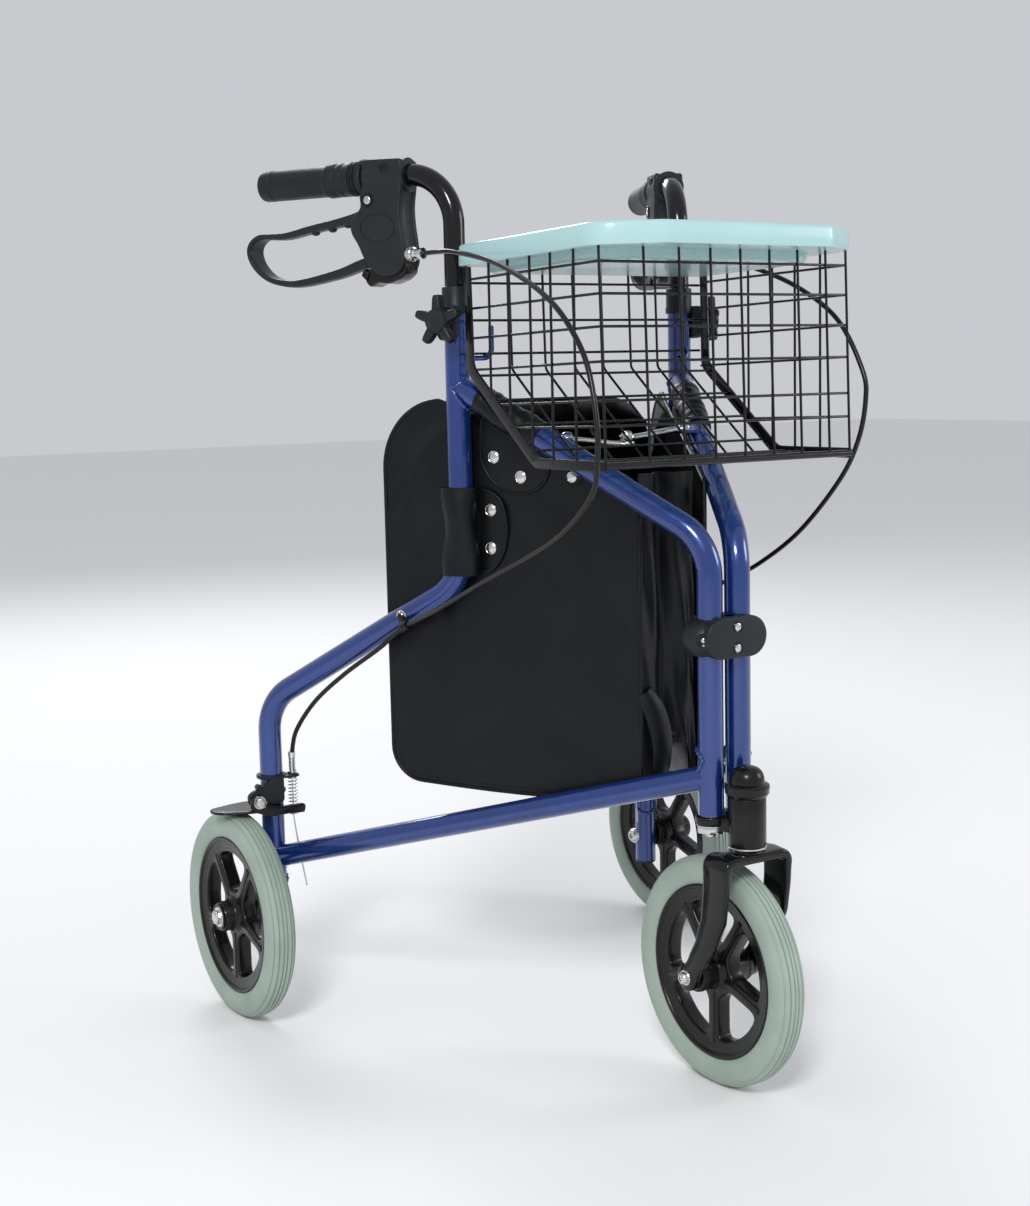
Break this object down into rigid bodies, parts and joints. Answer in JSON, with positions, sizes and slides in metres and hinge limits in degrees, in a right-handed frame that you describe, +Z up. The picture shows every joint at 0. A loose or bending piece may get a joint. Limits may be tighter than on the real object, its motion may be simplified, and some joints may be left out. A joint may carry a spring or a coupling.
{
  "type": "rollator walker",
  "caption": "Folding three-wheeled rollator walker with caster front wheel, loop brakes, lift-off basket and tray, and a bag.",
  "frame": {"origin": "on the ground under the middle of the whole walker", "axes": "+Z up; the walker travels towards -Y and its user's right hand is at -X"},
  "size_m": [0.583, 0.6084, 0.809],
  "materials": {
    "blue_paint": "metallic gloss",
    "black_paint": "gloss",
    "black_plastic": "satin",
    "black_gloss_plastic": "gloss",
    "grip_rubber": "matte",
    "tyre_grey": "matte",
    "zinc_steel": "satin",
    "aqua_plastic": "gloss",
    "black_vinyl": "satin",
    "black_wire": "satin",
    "cable_black": "satin"
  },
  "bodies": {
    "head": {"head_tube": "black_paint", "head_cap": "black_gloss_plastic", "head_bracket": "black_paint", "clamp_front": "black_plastic", "clamp_rear": "black_plastic", "pivot_bolt_right": "zinc_steel", "pivot_bolt_left": "zinc_steel", "bag_core": "black_vinyl"},
    "caster": {"caster_fork": "black_paint", "fork_stem": "zinc_steel", "front_axle": "zinc_steel"},
    "front_wheel": {"front_tyre": "tyre_grey", "front_rim": "black_gloss_plastic"},
    "basket_body": {"basket": "black_wire"},
    "tray_body": {"tray": "aqua_plastic"},
    "frame_right": {"rear_tube_right": "blue_paint", "front_tube_right": "blue_paint", "lower_tube_right": "blue_paint", "collar_right": "black_plastic", "brake_bracket_right": "black_plastic", "brake_bolt_right": "zinc_steel", "brake_spring_right": "zinc_steel", "brake_cable_right": "cable_black", "bag_panel_right": "black_vinyl", "rear_axle_right": "zinc_steel"},
    "wheel_right": {"rear_right_tyre": "tyre_grey", "rear_right_rim": "black_gloss_plastic"},
    "handle_right": {"handle_tube_right": "black_paint", "grip_right": "grip_rubber", "brake_housing_right": "black_plastic", "cable_adjuster_right": "zinc_steel"},
    "lever_right": {"brake_lever_right": "black_plastic"},
    "knob_right": {"star_knob_right": "black_plastic"},
    "shoe_right": {"brake_arm_right": "black_plastic"},
    "brace_right": {"brace_link_right": "zinc_steel"},
    "frame_left": {"rear_tube_left": "blue_paint", "front_tube_left": "blue_paint", "lower_tube_left": "blue_paint", "collar_left": "black_plastic", "brake_bracket_left": "black_plastic", "brake_bolt_left": "zinc_steel", "brake_spring_left": "zinc_steel", "brake_cable_left": "cable_black", "bag_panel_left": "black_vinyl", "rear_axle_left": "zinc_steel"},
    "wheel_left": {"rear_left_tyre": "tyre_grey", "rear_left_rim": "black_gloss_plastic"},
    "handle_left": {"handle_tube_left": "black_paint", "grip_left": "grip_rubber", "brake_housing_left": "black_plastic", "cable_adjuster_left": "zinc_steel"},
    "lever_left": {"brake_lever_left": "black_plastic"},
    "knob_left": {"star_knob_left": "black_plastic"},
    "shoe_left": {"brake_arm_left": "black_plastic"},
    "brace_left": {"brace_link_left": "zinc_steel"}
  },
  "joints": [
    {"name": "caster_swivel", "type": "hinge", "parent": "head", "child": "caster", "pos_m": [0, -0.2425, 0.22], "axis": [0, 0, 1], "continuous": true},
    {"name": "front_wheel_spin", "type": "hinge", "parent": "caster", "child": "front_wheel", "pos_m": [0, -0.204, 0.1], "axis": [1, 0, 0], "continuous": true},
    {"name": "basket_lift", "type": "slide", "parent": "head", "child": "basket_body", "axis": [0, 0, 1], "range_m": [0, 0.024]},
    {"name": "tray_lift", "type": "slide", "parent": "basket_body", "child": "tray_body", "axis": [0, 0, 1], "range_m": [0, 0.05]},
    {"name": "fold_right", "type": "hinge", "parent": "head", "child": "frame_right", "pos_m": [-0.015, -0.2135, 0.3], "axis": [0, 0, -1], "range_deg": [0, 24], "deforming": ["brake_cable_right", "bag_core"]},
    {"name": "wheel_spin_right", "type": "hinge", "parent": "frame_right", "child": "wheel_right", "pos_m": [-0.2635, 0.2044, 0.1], "axis": [1, 0, 0], "continuous": true},
    {"name": "handle_height_right", "type": "slide", "parent": "frame_right", "child": "handle_right", "axis": [0, 0, 1], "range_m": [0, 0.1]},
    {"name": "knob_turn_right", "type": "hinge", "parent": "frame_right", "child": "knob_right", "pos_m": [-0.14285, -0.0094, 0.6625], "axis": [-0.8886, -0.4586, 0], "continuous": true},
    {"name": "lever_squeeze_right", "type": "hinge", "parent": "handle_right", "child": "lever_right", "pos_m": [-0.16223, 0.07175, 0.7718], "axis": [0.8886, 0.4586, 0], "range_deg": [0, 9], "stiffness_Nm_per_rad": 0.5, "springref_deg": -8.59},
    {"name": "brake_press_right", "type": "hinge", "parent": "frame_right", "child": "shoe_right", "pos_m": [-0.252, 0.178, 0.2135], "axis": [0, -1, 0], "range_deg": [0, 5], "stiffness_Nm_per_rad": 0.3, "springref_deg": -5.73, "deforming": ["brake_spring_right"]},
    {"name": "brace_turn_right", "type": "hinge", "parent": "frame_right", "child": "brace_right", "pos_m": [-0.06499, -0.08176, 0.561], "axis": [0, 0, 1], "range_deg": [0, 107.8]},
    {"name": "fold_left", "type": "hinge", "parent": "head", "child": "frame_left", "pos_m": [0.015, -0.2135, 0.3], "axis": [0, 0, 1], "range_deg": [0, 24], "deforming": ["brake_cable_left"]},
    {"name": "wheel_spin_left", "type": "hinge", "parent": "frame_left", "child": "wheel_left", "pos_m": [0.2635, 0.2044, 0.1], "axis": [1, 0, 0], "continuous": true},
    {"name": "handle_height_left", "type": "slide", "parent": "frame_left", "child": "handle_left", "axis": [0, 0, 1], "range_m": [0, 0.1]},
    {"name": "knob_turn_left", "type": "hinge", "parent": "frame_left", "child": "knob_left", "pos_m": [0.14285, -0.0094, 0.6625], "axis": [0.8886, -0.4586, 0], "continuous": true},
    {"name": "lever_squeeze_left", "type": "hinge", "parent": "handle_left", "child": "lever_left", "pos_m": [0.16223, 0.07175, 0.7718], "axis": [0.8886, -0.4586, 0], "range_deg": [0, 9], "stiffness_Nm_per_rad": 0.5, "springref_deg": -8.59},
    {"name": "brake_press_left", "type": "hinge", "parent": "frame_left", "child": "shoe_left", "pos_m": [0.252, 0.178, 0.2135], "axis": [0, 1, 0], "range_deg": [0, 5], "stiffness_Nm_per_rad": 0.3, "springref_deg": -5.73, "deforming": ["brake_spring_left"]},
    {"name": "brace_turn_left", "type": "hinge", "parent": "frame_left", "child": "brace_left", "pos_m": [0.06499, -0.08176, 0.561], "axis": [0, 0, -1], "range_deg": [0, 107.8]}
  ],
  "couplings": [
    {"joint": "brake_press_right", "follows": "lever_squeeze_right", "ratio": 0.5556},
    {"joint": "brace_turn_right", "follows": "fold_right", "ratio": 4.4875},
    {"joint": "brake_press_left", "follows": "lever_squeeze_left", "ratio": 0.5556},
    {"joint": "brace_turn_left", "follows": "fold_right", "ratio": 4.4875},
    {"joint": "fold_left", "follows": "fold_right", "ratio": 1}
  ]
}
